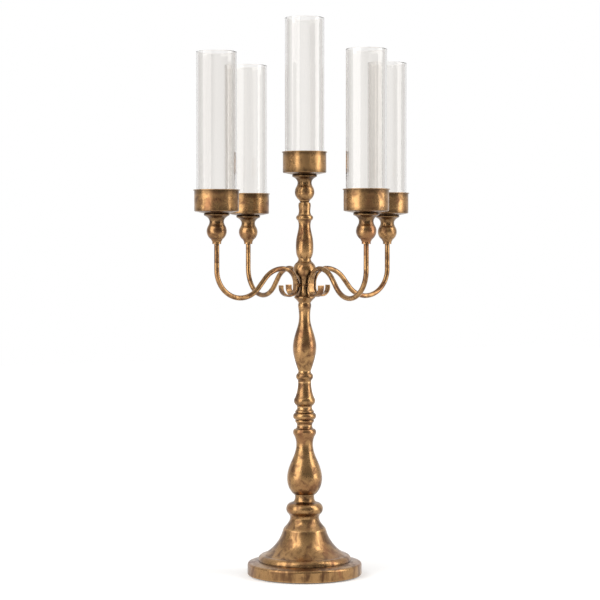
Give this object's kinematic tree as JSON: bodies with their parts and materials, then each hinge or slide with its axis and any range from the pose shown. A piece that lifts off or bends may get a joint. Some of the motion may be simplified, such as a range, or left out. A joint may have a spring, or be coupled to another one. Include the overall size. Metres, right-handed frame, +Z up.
{
  "type": "tabletop candelabra",
  "caption": "Tabletop candelabra with a turned stem on a domed round foot and curved arms, each candle cup holding a tall clear glass tube.",
  "frame": {"origin": "on the table, under the middle of the round foot", "axes": "+Z up along the stem, the four arms along +X, -X, +Y and -Y"},
  "size_m": [0.3232, 0.3232, 0.7134],
  "materials": {
    "cast_bronze": "antique gold over dark brown, mottled and rubbed",
    "wrought_bronze": "antique gold over dark brown, hammered bar",
    "spun_bronze": "antique gold, lightly hammered sheet",
    "steel": "plain turned steel",
    "felt": "dark brown pressed felt",
    "glass": "clear drawn tube with fire-polished ends"
  },
  "bodies": {
    "stand": {"base_foot": "cast_bronze", "base_collar": "cast_bronze", "lower_vase": "cast_bronze", "lower_knop": "cast_bronze", "middle_trumpet": "cast_bronze", "bead_ring": "cast_bronze", "upper_baluster": "cast_bronze", "arm_hub": "cast_bronze", "upper_spindle": "cast_bronze", "arm_left": "wrought_bronze", "arm_right": "wrought_bronze", "arm_front": "wrought_bronze", "arm_back": "wrought_bronze", "cup_knop_centre": "cast_bronze", "candle_cup_centre": "spun_bronze", "taper_socket_centre": "spun_bronze", "cup_knop_left": "cast_bronze", "candle_cup_left": "spun_bronze", "taper_socket_left": "spun_bronze", "cup_knop_right": "cast_bronze", "candle_cup_right": "spun_bronze", "taper_socket_right": "spun_bronze", "cup_knop_front": "cast_bronze", "candle_cup_front": "spun_bronze", "taper_socket_front": "spun_bronze", "cup_knop_back": "cast_bronze", "candle_cup_back": "spun_bronze", "taper_socket_back": "spun_bronze", "tie_rod": "steel", "base_nut": "steel", "base_washer": "steel", "cup_screws": "steel", "base_felt": "felt"},
    "tube_centre": {"glass_tube_centre": "glass"},
    "tube_left": {"glass_tube_left": "glass"},
    "tube_right": {"glass_tube_right": "glass"},
    "tube_front": {"glass_tube_front": "glass"},
    "tube_back": {"glass_tube_back": "glass"}
  },
  "joints": [
    {"name": "tube_centre_lift", "type": "slide", "parent": "stand", "child": "tube_centre", "axis": [0, 0, 1], "range_m": [0, 0.22]},
    {"name": "tube_left_lift", "type": "slide", "parent": "stand", "child": "tube_left", "axis": [0, 0, 1], "range_m": [0, 0.22]},
    {"name": "tube_right_lift", "type": "slide", "parent": "stand", "child": "tube_right", "axis": [0, 0, 1], "range_m": [0, 0.22]},
    {"name": "tube_front_lift", "type": "slide", "parent": "stand", "child": "tube_front", "axis": [0, 0, 1], "range_m": [0, 0.22]},
    {"name": "tube_back_lift", "type": "slide", "parent": "stand", "child": "tube_back", "axis": [0, 0, 1], "range_m": [0, 0.22]}
  ]
}
